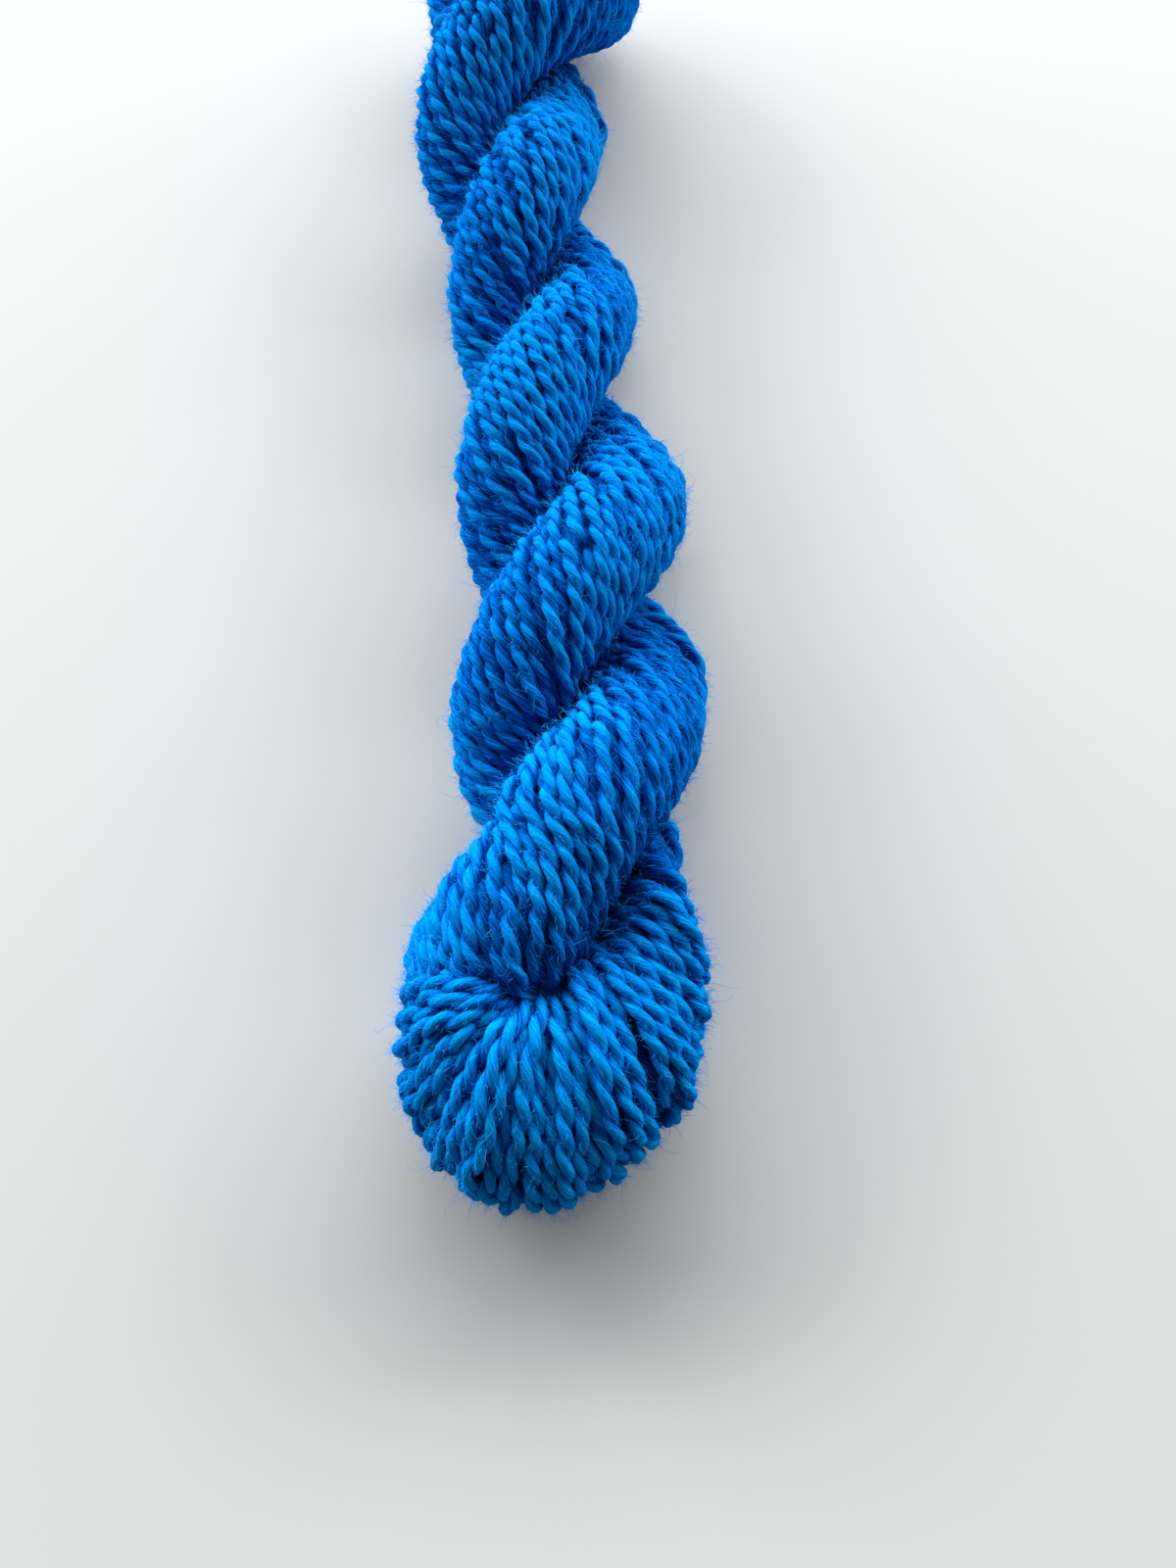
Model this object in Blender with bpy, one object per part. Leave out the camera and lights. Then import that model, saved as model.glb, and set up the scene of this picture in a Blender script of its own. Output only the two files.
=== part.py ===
"""A twisted skein of yarn, as it lies on a surface, built in Blender.

The yarn is wound into a long hank, twisted, folded in half and left to ply on itself, so the skein is
one tube that runs up the rope, turns back at the folded end and runs down again beside itself. At the
near end the hank's own loop is pushed through, and its turns spread into a flat rosette.

Metres, +Z up. The skein lies along +Y on the plane Z = 0, with the rosette at the -Y end.
"""

import math

import bmesh
import bpy
import numpy as np
from mathutils import Matrix, Vector

# The size table.
MM = 0.001

# The middle of the finished skein's outline, measured from where the stations are counted.
SKEIN_MIDDLE = Vector((0.3, 2.5, 0.0))

# The rope, station by station, in millimetres and half turns of the two plies about each other.
# A half turn lies between each crease on the skein's upper side and the next.
# Columns: distance along the skein, its middle's sideways place and height, radius of one ply,
# distance of a ply's middle from the rope's middle, half turns.
STATIONS = (
    (-108.0, 5.6, 13.0, 8.4, 7.4, -0.48),
    (-91.5, 6.2, 15.6, 11.0, 8.6, 0.0),
    (-75.0, 6.6, 15.8, 10.3, 8.8, 0.47),
    (-55.0, 6.4, 16.0, 10.0, 9.4, 1.0),
    (-35.0, 5.2, 15.4, 9.6, 9.0, 1.5),
    (-15.0, 4.9, 15.4, 9.8, 9.1, 2.0),
    (7.0, 1.7, 14.2, 8.9, 8.3, 2.5),
    (28.0, -0.7, 13.8, 8.6, 8.0, 3.0),
    (47.0, -4.6, 14.0, 8.8, 8.1, 3.5),
    (67.0, -7.0, 15.0, 9.4, 8.7, 4.0),
    (84.0, -5.6, 16.6, 10.9, 9.6, 4.3),
    (98.0, -3.8, 16.9, 11.5, 10.2, 4.62),
    (110.0, -3.0, 13.2, 10.4, 12.8, 4.88),
)
UPPER_PLY_START = -94.0
LOWER_PLY_START = -108.0
FOLD_STATION = 108.0
FOLD_REACH = 13.0
FOLD_TWIST = 0.15
FOLD_STEPS = 10
TAPER_LENGTH = 10.0
TAPER_SHARE = 0.25
STATION_STEP = 4.0

# A rope of yarn sags under its own weight: its height is this share of its width.
SQUASH = 0.86
TUBE_ROUNDNESS = 9
MERGE_DISTANCE = 0.01

# The rosette at the near end: the loops of the hank, side by side round the middle they come out of.
ROSETTE_MIDDLE = (0.0, -100.0, 13.2)
ROSETTE_HALF_HEIGHT = 14.5
ROSETTE_LOOPS = 30
ROSETTE_RINGS = 16
LOOP_DEPTH = 0.045
DIMPLE_DEPTH = 0.22
DIMPLE_REACH = 0.3
# The dome lies lower where a ply comes down onto it, at this bearing in degrees.
SINK_BEARING = 115.0
SINK_DEPTH = 0.62
# Columns: bearing from +X in degrees, reach of the rim in millimetres.
ROSETTE_RIM = (
    (-180.0, 20.3),
    (-150.0, 21.6),
    (-125.0, 25.0),
    (-95.0, 26.6),
    (-60.0, 27.4),
    (-25.0, 26.0),
    (5.0, 25.8),
    (30.0, 27.4),
    (50.0, 26.0),
    (80.0, 18.0),
    (110.0, 16.0),
    (150.0, 18.5),
    (180.0, 20.3),
)

FLOOR_SIZE = 600.0 * MM

YARN_BLUE = (0.0, 0.16, 0.62, 1.0)
YARN_ROUGHNESS = 0.85


def eased(table, column, at):
    """The table's column at a place in its first column, on a smooth curve through the rows."""
    xs = [row[0] for row in table]
    ys = [row[column] for row in table]
    slopes = np.gradient(ys, xs)
    at = min(max(at, xs[0]), xs[-1])
    i = min(max(int(np.searchsorted(xs, at)) - 1, 0), len(xs) - 2)
    span = xs[i + 1] - xs[i]
    t = (at - xs[i]) / span
    rise = t * t * (3.0 - 2.0 * t)
    return (
        ys[i] * (1.0 - rise)
        + ys[i + 1] * rise
        + span * slopes[i] * t * (1.0 - t) ** 2
        - span * slopes[i + 1] * t * t * (1.0 - t)
    )


def ply_point(station, side, reach=1.0, beyond=0.0, turn=0.0):
    """The middle of a ply at a station, with its radius. side is 0 for one ply and 1 for the other."""
    sideways, height, radius, spread, half_turns = (eased(STATIONS, column, station) for column in range(1, 6))
    angle = -math.pi * (half_turns + turn + side)
    x = sideways + spread * reach * math.cos(angle)
    z = height / SQUASH + spread * reach * math.sin(angle)
    return Vector((x, station + beyond, z)), radius


def ply_run(start, side):
    """A ply from its end inside the rosette to the fold, closing to a blunt tip at that end."""
    run = []
    for station in np.linspace(start, FOLD_STATION, round((FOLD_STATION - start) / STATION_STEP) + 1):
        place, radius = ply_point(station, side)
        inside = min((station - start) / TAPER_LENGTH, 1.0)
        run.append((place, radius * (1.0 - TAPER_SHARE * (1.0 - inside) ** 2)))
    return run


def skein_path():
    """Points and radii down the middle of the hank: up one ply, round the fold and down the other."""
    fold = []
    for swing in np.linspace(0.0, math.pi, FOLD_STEPS + 1)[1:-1]:
        turn = FOLD_TWIST * math.sin(swing)
        fold.append(ply_point(FOLD_STATION, 0, math.cos(swing), FOLD_REACH * math.sin(swing), turn))
    return ply_run(UPPER_PLY_START, 0) + fold + ply_run(LOWER_PLY_START, 1)[::-1]


def new_object(name, data, collection):
    """An object with this mesh or curve, in this collection."""
    made = bpy.data.objects.new(name, data)
    collection.objects.link(made)
    return made


def ply_tube(name, collection):
    """The hank as one tube along its path, as a mesh with its caps closed."""
    curve = bpy.data.curves.new(name + "_path", "CURVE")
    curve.dimensions = "3D"
    curve.bevel_depth = MM
    curve.bevel_resolution = TUBE_ROUNDNESS
    curve.use_fill_caps = True
    path = skein_path()
    spline = curve.splines.new("POLY")
    spline.points.add(len(path) - 1)
    for point, (place, radius) in zip(spline.points, path):
        point.co = (*(place * MM), 1.0)
        point.radius = radius
    guide = new_object(name + "_guide", curve, collection)
    bpy.context.view_layer.update()
    evaluated = guide.evaluated_get(bpy.context.evaluated_depsgraph_get())
    mesh = bpy.data.meshes.new_from_object(evaluated)
    bpy.data.objects.remove(guide)
    shape = bmesh.new()
    shape.from_mesh(mesh)
    bmesh.ops.remove_doubles(shape, verts=shape.verts, dist=MERGE_DISTANCE * MM)
    shape.to_mesh(mesh)
    shape.free()
    mesh.transform(Matrix.Translation(-SKEIN_MIDDLE * MM) @ Matrix.Diagonal((1.0, 1.0, SQUASH, 1.0)))
    return new_object(name, mesh, collection)


def rosette(name, collection):
    """The spread end of the hank: a low dome, dimpled at its middle, with a ridge for each loop of yarn."""
    shape = bmesh.new()
    bmesh.ops.create_uvsphere(shape, u_segments=3 * ROSETTE_LOOPS, v_segments=ROSETTE_RINGS, radius=1.0)
    for vert in shape.verts:
        bearing = math.atan2(vert.co.y, vert.co.x)
        across = math.hypot(vert.co.x, vert.co.y)
        rim = eased(ROSETTE_RIM, 1, math.degrees(bearing))
        swell = 1.0 - LOOP_DEPTH * across * (1.0 - math.cos(ROSETTE_LOOPS * bearing)) / 2.0
        height = ROSETTE_HALF_HEIGHT * swell
        if vert.co.z > 0.0:
            height *= 1.0 - DIMPLE_DEPTH * math.exp(-((across / DIMPLE_REACH) ** 2))
            height *= 1.0 - SINK_DEPTH * across * max(0.0, math.cos(bearing - math.radians(SINK_BEARING)))
        vert.co = (vert.co.x * rim * swell, vert.co.y * rim * swell, vert.co.z * height)
    placed = Matrix.Scale(MM, 4) @ Matrix.Translation(Vector(ROSETTE_MIDDLE) - SKEIN_MIDDLE)
    bmesh.ops.transform(shape, matrix=placed, verts=shape.verts)
    mesh = bpy.data.meshes.new(name)
    shape.to_mesh(mesh)
    shape.free()
    return new_object(name, mesh, collection)


def floor_block(name, collection):
    """What the skein is pressed flat against: everything below Z = 0."""
    shape = bmesh.new()
    bmesh.ops.create_cube(shape, size=FLOOR_SIZE)
    bmesh.ops.translate(shape, vec=(0.0, 0.0, -FLOOR_SIZE / 2.0), verts=shape.verts)
    mesh = bpy.data.meshes.new(name)
    shape.to_mesh(mesh)
    shape.free()
    return new_object(name, mesh, collection)


def yarn_material():
    """Blue dyed yarn, dull all over."""
    material = bpy.data.materials.new("dyed_wool_yarn")
    material.use_nodes = True
    shader = material.node_tree.nodes["Principled BSDF"]
    shader.inputs["Base Color"].default_value = YARN_BLUE
    shader.inputs["Roughness"].default_value = YARN_ROUGHNESS
    shader.inputs["Metallic"].default_value = 0.0
    return material


def add_boolean(target, operation, other, self_overlaps=False):
    """A Boolean of the target with another solid. self_overlaps joins a solid's own crossings too."""
    modifier = target.modifiers.new(operation.lower(), "BOOLEAN")
    modifier.operation = operation
    modifier.solver = "EXACT"
    modifier.object = other
    modifier.use_self = self_overlaps


def main():
    """Clear the scene and build the skein from the size table."""
    for old in list(bpy.data.objects):
        bpy.data.objects.remove(old)
    parts = bpy.data.collections.new("twisted_skein")
    cutters = bpy.data.collections.new("cutters")
    for collection in (parts, cutters):
        bpy.context.scene.collection.children.link(collection)

    skein = ply_tube("skein", parts)
    end = rosette("rosette_form", cutters)
    floor = floor_block("floor_form", cutters)
    for helper in (end, floor):
        helper.hide_render = True
        helper.display_type = "WIRE"
    add_boolean(skein, "UNION", end, self_overlaps=True)
    add_boolean(skein, "DIFFERENCE", floor)
    skein.data.materials.append(yarn_material())
    skein.data.shade_smooth()


main()
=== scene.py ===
"""The looks of a twisted skein of yarn: every turn of the yarn round its plies, the loops of its rosette
and the fuzz that stands off them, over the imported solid, with a floor, lights and a camera.

Metres in the scene, millimetres in the tables. +Y runs along the skein from the rosette to the fold.
"""

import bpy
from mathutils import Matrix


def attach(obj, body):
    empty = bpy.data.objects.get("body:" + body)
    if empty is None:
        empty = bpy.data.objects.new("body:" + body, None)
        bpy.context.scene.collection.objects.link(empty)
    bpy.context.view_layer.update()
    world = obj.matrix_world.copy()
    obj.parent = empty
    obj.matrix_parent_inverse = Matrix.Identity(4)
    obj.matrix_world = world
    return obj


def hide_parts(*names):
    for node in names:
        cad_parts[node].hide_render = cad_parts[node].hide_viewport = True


bl_info = {
    "name": "Yarn skein",
    "version": (1, 0, 0),
    "blender": (4, 5, 0),
    "location": "3D View > Sidebar > Skein",
    "description": "Dresses a packed skein solid in turns of plied yarn",
    "category": "Object",
}

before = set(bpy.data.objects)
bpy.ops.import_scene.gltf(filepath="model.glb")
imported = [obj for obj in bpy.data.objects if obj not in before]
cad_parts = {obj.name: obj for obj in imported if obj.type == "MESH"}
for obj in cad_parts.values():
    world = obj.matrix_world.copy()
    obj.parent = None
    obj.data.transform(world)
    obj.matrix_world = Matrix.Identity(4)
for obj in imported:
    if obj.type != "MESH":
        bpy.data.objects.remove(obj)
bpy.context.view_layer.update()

import math

import bmesh
import bpy
import numpy as np
from bpy.props import FloatProperty, FloatVectorProperty, IntProperty, PointerProperty
from bpy.types import Operator, Panel, PropertyGroup
from mathutils.kdtree import KDTree

MM = 0.001
SEED = 7

# The rope. From the row at 28 on, the rows differ from the part's source by up to a millimetre and a tenth
# of a half turn. Columns: distance along the skein, its middle's sideways place and height, radius of one
# ply, distance of a ply's middle from the rope's middle, half turns.
STATIONS = np.array((
    (-108.0, 5.6, 13.0, 8.4, 7.4, -0.48),
    (-91.5, 6.2, 15.6, 11.0, 8.6, 0.0),
    (-75.0, 6.6, 15.8, 10.3, 8.8, 0.47),
    (-55.0, 6.4, 16.0, 10.0, 9.4, 1.0),
    (-35.0, 5.2, 15.4, 9.6, 9.0, 1.5),
    (-15.0, 4.9, 15.4, 9.8, 9.1, 2.0),
    (7.0, 1.7, 14.2, 8.9, 8.3, 2.5),
    (28.0, -0.3, 13.8, 8.6, 8.0, 3.0),
    (47.0, -3.9, 14.0, 9.2, 8.1, 3.5),
    (67.0, -8.0, 15.0, 9.0, 8.3, 4.0),
    (84.0, -6.6, 16.6, 9.9, 8.8, 4.4),
    (98.0, -3.8, 16.9, 11.5, 10.2, 4.72),
    (110.0, -3.0, 13.2, 10.4, 12.8, 4.92),
))
# One ply begins here, at the rosette. It gets to its full radius over this length, from this share less.
UPPER_PLY_START = -86.0
TAPER_LENGTH = 9.0
TAPER_SHARE = 0.35
# The end of the other ply, which comes down over the rosette and spreads into its left side. Columns:
# distance along the skein, sideways place, height, radius.
PLY_TIP = np.array((
    (-106.0, -7.5, 8.0, 6.0),
    (-101.5, -8.0, 10.6, 9.2),
    (-97.0, -7.0, 14.0, 10.8),
    (-92.5, -5.4, 17.2, 11.4),
    (-88.4, -2.6, 20.3, 11.2),
    (-84.0, 0.6, 21.9, 10.3),
    (-79.5, 3.6, 22.8, 9.7),
    (-75.0, 5.8, 23.3, 10.3),
    (-70.0, 9.6, 23.1, 10.2),
))
TIP_STATION = -75.0
# The fold: where it starts, how far it reaches past that, how much more the plies turn in it, its points.
FOLD_STATION = 108.0
FOLD_REACH = 13.0
FOLD_TWIST = 0.15
FOLD_POINTS = 40
# How far apart a ply's middles are worked out along the skein, before they are spaced evenly.
ROUGH_STEP = 1.0
# A rope of yarn sags under its own weight: its height is this share of its width.
SQUASH = 0.86
# On the right, what lies this far under the rope's middle is pressed outward, by this share, and forward.
# This fades in past the rosette.
FOOT_DEPTH = 8.0
FOOT_SPREAD = 0.3
FOOT_FORWARD = 3.0
FOOT_START = -84.0
FOOT_FADE = 10.0
# The middle of the skein's outline, measured from where the stations are counted.
SKEIN_MIDDLE = np.array((0.3, 2.5, 0.0))

# How the turns lie: a ply is bent round the other one, so its crown is stretched by this share and its
# inner side is pressed together by as much. The turns lie more across the crown than across the flanks,
# by this angle.
CROWN_STRETCH = 0.31
FLANK_LEAN = math.radians(10.0)
# The radius, to the yarn's middle, at which the turns lie at the lay that is asked for. Round a thinner
# stretch of the hank they lie a little more along it, but the lay's cosine stays within these limits.
LAY_RADIUS = 8.4
LAY_COSINES = (0.5, 0.92)
# How far a length strays round the ply, in radians, and off it, in millimetres, and after how many points
# of the path it strays another way.
STRAY_ROUND = (0.06, 36)
STRAY_OFF = (0.28, 24)
# How far the points of the hank's path are apart.
HANK_STEP = 0.5
# The points of a length are as far apart as YARN_STEP says, and up to this share further where it is
# hidden, on the ply's inner side.
INNER_COARSER = 1.5

# The loops of the rosette, from the ply's right edge round its tip to its left edge.
# Columns: where a loop comes out, x and y; where it meets the rim, x and y; its bearings there; its
# height as a share of the rosette's.
LOOPS = np.array((
    (18.2, -79.6, 21.6, -88.2, -28.0, -70.0, 0.90),
    (16.8, -82.0, 23.1, -94.5, -34.0, -78.0, 0.97),
    (14.6, -85.4, 23.4, -101.5, -37.0, -84.0, 1.0),
    (12.4, -88.6, 22.3, -108.5, -40.0, -88.0, 1.0),
    (10.0, -91.6, 20.9, -114.5, -44.0, -88.0, 1.0),
    (8.0, -93.9, 17.4, -118.2, -50.0, -84.0, 1.0),
    (6.2, -95.6, 12.4, -121.8, -58.0, -82.0, 1.0),
    (4.6, -97.2, 9.2, -124.8, -66.0, -84.0, 1.0),
    (3.4, -98.2, 6.6, -126.9, -76.0, -88.0, 1.0),
    (2.3, -99.1, 1.6, -127.4, -88.0, -92.0, 1.0),
    (1.2, -99.8, -4.2, -127.0, -100.0, -102.0, 1.0),
    (0.2, -100.4, -9.1, -125.2, -112.0, -112.0, 1.0),
    (-0.8, -100.8, -12.8, -121.8, -126.0, -122.0, 1.0),
    (-1.8, -101.2, -16.0, -117.2, -142.0, -134.0, 1.0),
    (-2.6, -101.4, -18.6, -111.3, -158.0, -148.0, 1.0),
    (-3.4, -101.5, -19.3, -105.2, -172.0, -166.0, 1.0),
    (-3.8, -101.2, -18.4, -101.0, -184.0, -184.0, 1.0),
    (-4.4, -100.6, -17.2, -97.2, -196.0, -196.0, 1.0),
    (-4.8, -100.2, -16.7, -93.8, -206.0, -204.0, 0.99),
    (-5.2, -99.6, -16.0, -90.8, -214.0, -208.0, 0.97),
    (-5.6, -98.6, -15.0, -88.2, -222.0, -214.0, 0.94),
    (-6.0, -97.4, -14.2, -86.0, -230.0, -222.0, 0.9),
))
# The height of the axis that the loops go round, and how far the tops of the highest rise over it, before
# they are made uneven.
ROSETTE_AXIS_HEIGHT = 13.2
ROSETTE_CROWN = 13.0
# A loop starts this far back under the ply that lies over it, and this far below the rosette's top.
LOOP_TUCK = 3.5
LOOP_SINK = 9.5
# The climb out of the crease takes this share of a loop's line in plan, and the quarter round over the
# dome takes the rest. The quarter round under it comes back along the line as far as the last share.
LOOP_CLIMB_SHARE = 0.4
LOOP_BACK_SHARE = 0.35
LOOP_CLIMB_POINTS = 15
LOOP_OVER_POINTS = 40
LOOP_BACK_POINTS = 24
# How far inside the rim of the table the yarn's outside stays.
RIM_INSET = 0.3
# How unevenly the loops lie: between their neighbours, as a share of a space; at the rim and on the crown,
# in millimetres; and in a slow sway to the side, with a new value after so many points.
LOOP_UNEVEN = 0.12
RIM_UNEVEN = (-2.4, 0.9)
CROWN_UNEVEN = (-2.2, 0.6)
LOOP_SWAY = (1.1, 14)
# The second layer of loops lies inside the first: further back, in from the rim, and with a lower axis, in
# millimetres, and lower at the crown and higher at the bottom, in thicknesses of the yarn.
LAYER_TUCK = 1.5
LAYER_INSET = 0.4
LAYER_AXIS_DROP = 2.0
LAYER_CROWN_DROP = 0.75
LAYER_BOTTOM_RISE = 0.9
# The height at which the first layer comes back, in thicknesses of the yarn.
BOTTOM_REST = 0.48


def linear(sheet_hex):
    """An sRGB hex colour as the linear RGBA that a shader reads."""
    channels = [int(sheet_hex[i : i + 2], 16) / 255.0 for i in (1, 3, 5)]
    turned = [c / 12.92 if c <= 0.04045 else ((c + 0.055) / 1.055) ** 2.4 for c in channels]
    return (*turned, 1.0)


def colour(name, description, sheet_hex):
    """A colour among the settings, with an sRGB hex colour as its default."""
    return FloatVectorProperty(
        name=name, description=description, default=linear(sheet_hex), size=4, subtype="COLOR"
    )


class SkeinSettings(PropertyGroup):
    """What a user would change on the skein."""

    yarn_thickness: FloatProperty(
        name="Yarn thickness", description="Across the plied yarn", default=2.7 * MM, unit="LENGTH"
    )
    turns_round_ply: IntProperty(
        name="Turns round a ply", description="Lengths of yarn side by side round one ply", default=31
    )
    lay: FloatProperty(
        name="Lay",
        description="Angle of the turns to the ply on its crown",
        default=math.radians(40.0),
        subtype="ANGLE",
    )
    loops: IntProperty(name="Loops", description="Loops of yarn on top of the rosette", default=42)
    yarn_twist: FloatProperty(
        name="Yarn twist",
        description="Length of one turn of the yarn's own plies",
        default=8.7 * MM,
        unit="LENGTH",
    )
    hairs: IntProperty(name="Hairs", description="Loose fibres that stand off the yarn", default=53000)
    # Painted shade: this deep colour is painted between the plies and in the creases, where shade falls;
    # darker streaks and patches of dye reach towards it too.
    shaded_dye: colour("Deep dye", "Colour of the yarn between its plies and in the creases", "#003894")
    dye_body: colour("Dye", "Colour of the yarn's sides", "#0086ec")
    # Painted highlight: this pale colour is painted on the yarn's open top, where light falls, and on its
    # pale streaks.
    highlit_dye: colour("Pale dye", "Colour of the yarn's top, where its fibres catch the light", "#00abf0")
    sheen: colour("Sheen", "Colour of the soft rim of light on the yarn", "#008cff")
    fibre_deep: colour("Deep fibre", "Colour of the deepest loose fibres", "#0088e8")
    fibre_pale: colour("Pale fibre", "Colour of the palest loose fibres", "#10b0f8")


def eased(table, number, at):
    """A column of a table at places in its first column, on the smooth curve of the part's source."""
    xs = table[:, 0]
    ys = table[:, number]
    slopes = np.gradient(ys, xs)
    at = np.clip(at, xs[0], xs[-1])
    i = np.clip(np.searchsorted(xs, at) - 1, 0, len(xs) - 2)
    span = xs[i + 1] - xs[i]
    t = (at - xs[i]) / span
    rise = t * t * (3.0 - 2.0 * t)
    between = ys[i] * (1.0 - rise) + ys[i + 1] * rise
    return between + span * (slopes[i] * t * (1.0 - t) ** 2 - slopes[i + 1] * t * t * (1.0 - t))


def ply_middle(station, side, reach=1.0, beyond=0.0, turn=0.0, start=-math.inf):
    """Middles of a ply at stations, before the rope sags, and its radii as a fourth column.

    side is 0 for one ply and 1 for the other, and start is where the ply begins, with a taper.
    """
    angle = -math.pi * (eased(STATIONS, 5, station) + turn + side)
    spread = eased(STATIONS, 4, station) * reach
    x = eased(STATIONS, 1, station) + spread * np.cos(angle)
    z = eased(STATIONS, 2, station) / SQUASH + spread * np.sin(angle)
    inside = np.clip((station - start) / TAPER_LENGTH, 0.0, 1.0)
    radius = eased(STATIONS, 3, station) * (1.0 - TAPER_SHARE * (1.0 - inside) ** 2)
    return np.stack((x, station + beyond, z, radius), axis=1)


def hank_path(step):
    """Middles and radii of the thick ply, up the rope, round the fold and down again, evenly spaced."""
    up = ply_middle(np.arange(UPPER_PLY_START, FOLD_STATION, ROUGH_STEP), 0, start=UPPER_PLY_START)
    down = ply_middle(np.arange(TIP_STATION, FOLD_STATION, ROUGH_STEP), 1)[::-1]
    at = np.arange(TIP_STATION, PLY_TIP[0, 0], -ROUGH_STEP)
    sideways, height, radius = (eased(PLY_TIP, column, at) for column in (1, 2, 3))
    tip = np.stack((sideways, at, height / SQUASH, radius), axis=1)
    swing = np.linspace(0.0, math.pi, FOLD_POINTS)
    at_fold = np.full_like(swing, FOLD_STATION)
    fold = ply_middle(at_fold, 0, np.cos(swing), FOLD_REACH * np.sin(swing), FOLD_TWIST * np.sin(swing))
    rough = np.concatenate((up, fold, down, tip[1:]))
    return evenly(rough, step)


def evenly(points, step):
    """The same path with points a step apart, or a step for each point. Later columns are carried along."""
    steps = np.full(len(points), step) if np.isscalar(step) else step
    sizes = np.linalg.norm(np.diff(points[:, :3], axis=0), axis=1)
    gone = np.concatenate(((0.0,), np.cumsum(sizes * 2.0 / (steps[1:] + steps[:-1]))))
    at = np.linspace(0.0, gone[-1], max(int(round(gone[-1])) + 1, 2))
    return np.stack([np.interp(at, gone, points[:, c]) for c in range(points.shape[1])], axis=1)


def lengths_along(points):
    """How far along the path each of its points is."""
    return np.concatenate(((0.0,), np.cumsum(np.linalg.norm(np.diff(points[:, :3], axis=0), axis=1))))


def directions(points):
    """The path's direction at each of its points."""
    along = np.gradient(points, axis=0)
    return along / np.linalg.norm(along, axis=1)[:, None]


def carried_frames(points):
    """Two directions across the path at each of its points, turned as little as can be along it."""
    along = directions(points)
    first = np.zeros_like(points)
    side = np.cross(along[0], (0.0, 0.0, 1.0))
    for i, direction in enumerate(along):
        side = side - direction * side.dot(direction)
        side = side / np.linalg.norm(side)
        first[i] = side
    return first, np.cross(along, first)


def wander(rng, count, every):
    """A smooth random walk between -1 and 1, with a new value after so many points."""
    knots = rng.uniform(-1.0, 1.0, count // every + 4)
    at = np.arange(count) / every
    i = at.astype(int)
    t = at - i
    t = t * t * (3.0 - 2.0 * t)
    return knots[i] * (1.0 - t) + knots[i + 1] * t


def settled(points):
    """Points of the rope after it sags and spreads at its foot, measured from the skein's middle."""
    middle = rope_middle(points[:, 1])
    depth = np.clip((middle[:, 2] - points[:, 2]) / FOOT_DEPTH, 0.0, 1.0)
    fade = np.clip((points[:, 1] - FOOT_START) / FOOT_FADE, 0.0, 1.0)
    aside = np.maximum(points[:, 0] - middle[:, 0], 0.0)
    pressed = fade * depth**3
    spread = points.copy()
    spread[:, 0] += aside * FOOT_SPREAD * pressed
    spread[:, 1] += FOOT_FORWARD * pressed * np.minimum(aside / FOOT_DEPTH, 1.0)
    return spread * (1.0, 1.0, SQUASH) - SKEIN_MIDDLE


def turn_paths(settings):
    """The middle of each length of yarn round the thick ply, in millimetres."""
    rng = np.random.default_rng(SEED)
    thick = settings.yarn_thickness / MM
    count = settings.turns_round_ply
    path = hank_path(HANK_STEP)
    middles = path[:, :3]
    first, second = carried_frames(middles)
    reach = path[:, 3] - thick / 2.0
    step = np.linalg.norm(np.diff(middles, axis=0), axis=1).mean()
    lay = np.arccos(np.clip(math.cos(settings.lay) * np.sqrt(LAY_RADIUS / reach), *LAY_COSINES))
    # The crown faces away from the rope's middle.
    outward = middles - rope_middle(middles[:, 1])
    crown = np.unwrap(np.arctan2((outward * second).sum(axis=1), (outward * first).sum(axis=1)))

    def wound(around, i):
        """How far round the ply a length has got after a step, from how far it was."""
        facing = math.cos(around - crown[i])
        angle = lay[i] - FLANK_LEAN * (1.0 - max(facing, 0.0))
        return around - math.tan(angle) * (1.0 + CROWN_STRETCH * facing) * step / reach[i]

    # The lengths follow each other at even times round the first turn.
    trace = [0.0]
    while trace[-1] > -2.0 * math.pi:
        trace.append(wound(trace[-1], 0))
    starts = np.interp(np.arange(count) / count, np.linspace(0.0, 1.0, len(trace)), trace)
    paths = []
    for begin in starts:
        around = np.empty(len(path))
        around[0] = begin
        for i in range(1, len(path)):
            around[i] = wound(around[i - 1], i)
        around += STRAY_ROUND[0] * wander(rng, len(path), STRAY_ROUND[1])
        out = first * np.cos(around)[:, None] + second * np.sin(around)[:, None]
        lift = reach + STRAY_OFF[0] * wander(rng, len(path), STRAY_OFF[1])
        line = settled(middles + out * lift[:, None])
        inner = np.clip(-2.0 * np.cos(around - crown), 0.0, 1.0)
        paths.append(evenly(line, YARN_STEP * (1.0 + INNER_COARSER * inner)))
    return paths


def rope_middle(station):
    """The rope's middle at stations, before it sags."""
    return np.stack((eased(STATIONS, 1, station), station, eased(STATIONS, 2, station) / SQUASH), axis=1)


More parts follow.
